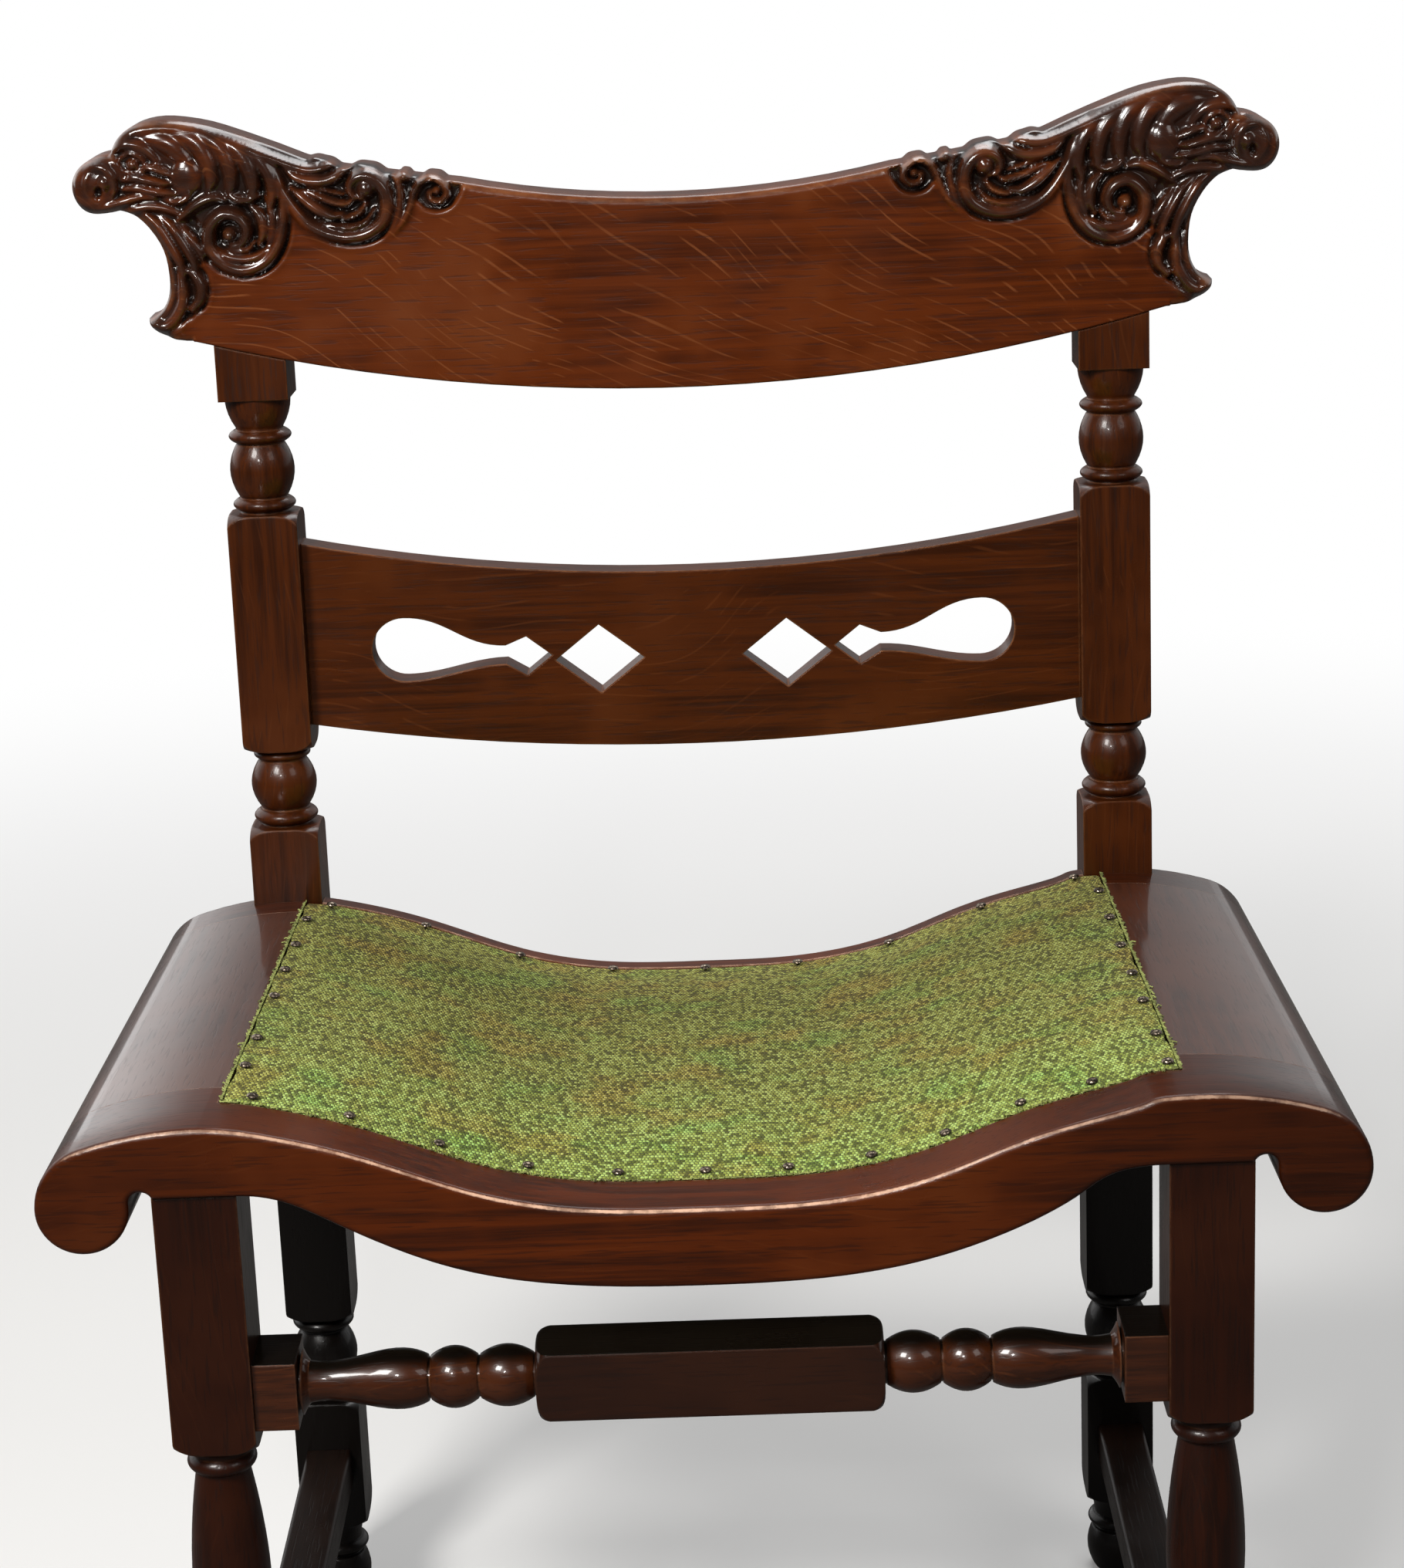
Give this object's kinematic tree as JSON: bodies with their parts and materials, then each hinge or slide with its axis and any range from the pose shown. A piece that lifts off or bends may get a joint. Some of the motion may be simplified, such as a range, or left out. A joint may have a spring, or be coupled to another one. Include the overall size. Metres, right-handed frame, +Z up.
{
  "type": "side chair with a saddle seat",
  "caption": "Low-backed carved oak side chair with turned legs, a pierced middle rail, and a saddle seat with an upholstered panel.",
  "frame": {"origin": "On the floor, below the middle of the whole chair's box.", "axes": "+Z up from the floor, +Y from the front of the seat towards the back, +X across the chair, to the right as seen from the front, which is the sitter's left."},
  "size_m": [0.642, 0.4328, 0.8708],
  "materials": {
    "leg_oak": "old dark varnish, glossy, on quarter-sawn oak",
    "dark_oak": "old near-black varnish on oak",
    "seat_oak": "old dark varnish, glossy, worn pale at the edges",
    "back_oak": "old dark varnish, glossy, with pale ray flecks",
    "hidden_oak": "bare oak under the seat",
    "webbing": "plain woven jute webbing",
    "burlap": "coarse plain-woven burlap",
    "padding": "felted cotton padding",
    "cover_cloth": "coarse olive and brown tweed, frayed at its edge",
    "tack_metal": "dulled, low domed heads",
    "dowel_wood": "bare beech",
    "screw_steel": "plain steel"
  },
  "bodies": {
    "root": {"front_leg_left": "leg_oak", "back_post_left": "dark_oak", "side_stretcher_left": "dark_oak", "seat_wing_left": "seat_oak", "front_leg_right": "leg_oak", "back_post_right": "dark_oak", "side_stretcher_right": "dark_oak", "seat_wing_right": "seat_oak", "front_stretcher": "leg_oak", "middle_rail": "back_oak", "crest_rail": "back_oak", "seat_front_rail": "seat_oak", "seat_rear_rail": "seat_oak", "corner_block_front_left": "hidden_oak", "corner_block_front_right": "hidden_oak", "corner_block_rear_left": "hidden_oak", "corner_block_rear_right": "hidden_oak", "webbing_strip_1": "webbing", "webbing_strip_2": "webbing", "webbing_strip_3": "webbing", "webbing_strip_4": "webbing", "webbing_strip_5": "webbing", "seat_burlap": "burlap", "seat_padding": "padding", "seat_cover": "cover_cloth", "cover_tacks": "tack_metal", "webbing_tacks": "tack_metal", "wing_dowels": "dowel_wood", "crest_dowels": "dowel_wood", "corner_screws": "screw_steel", "post_screws": "screw_steel"}
  },
  "joints": []
}
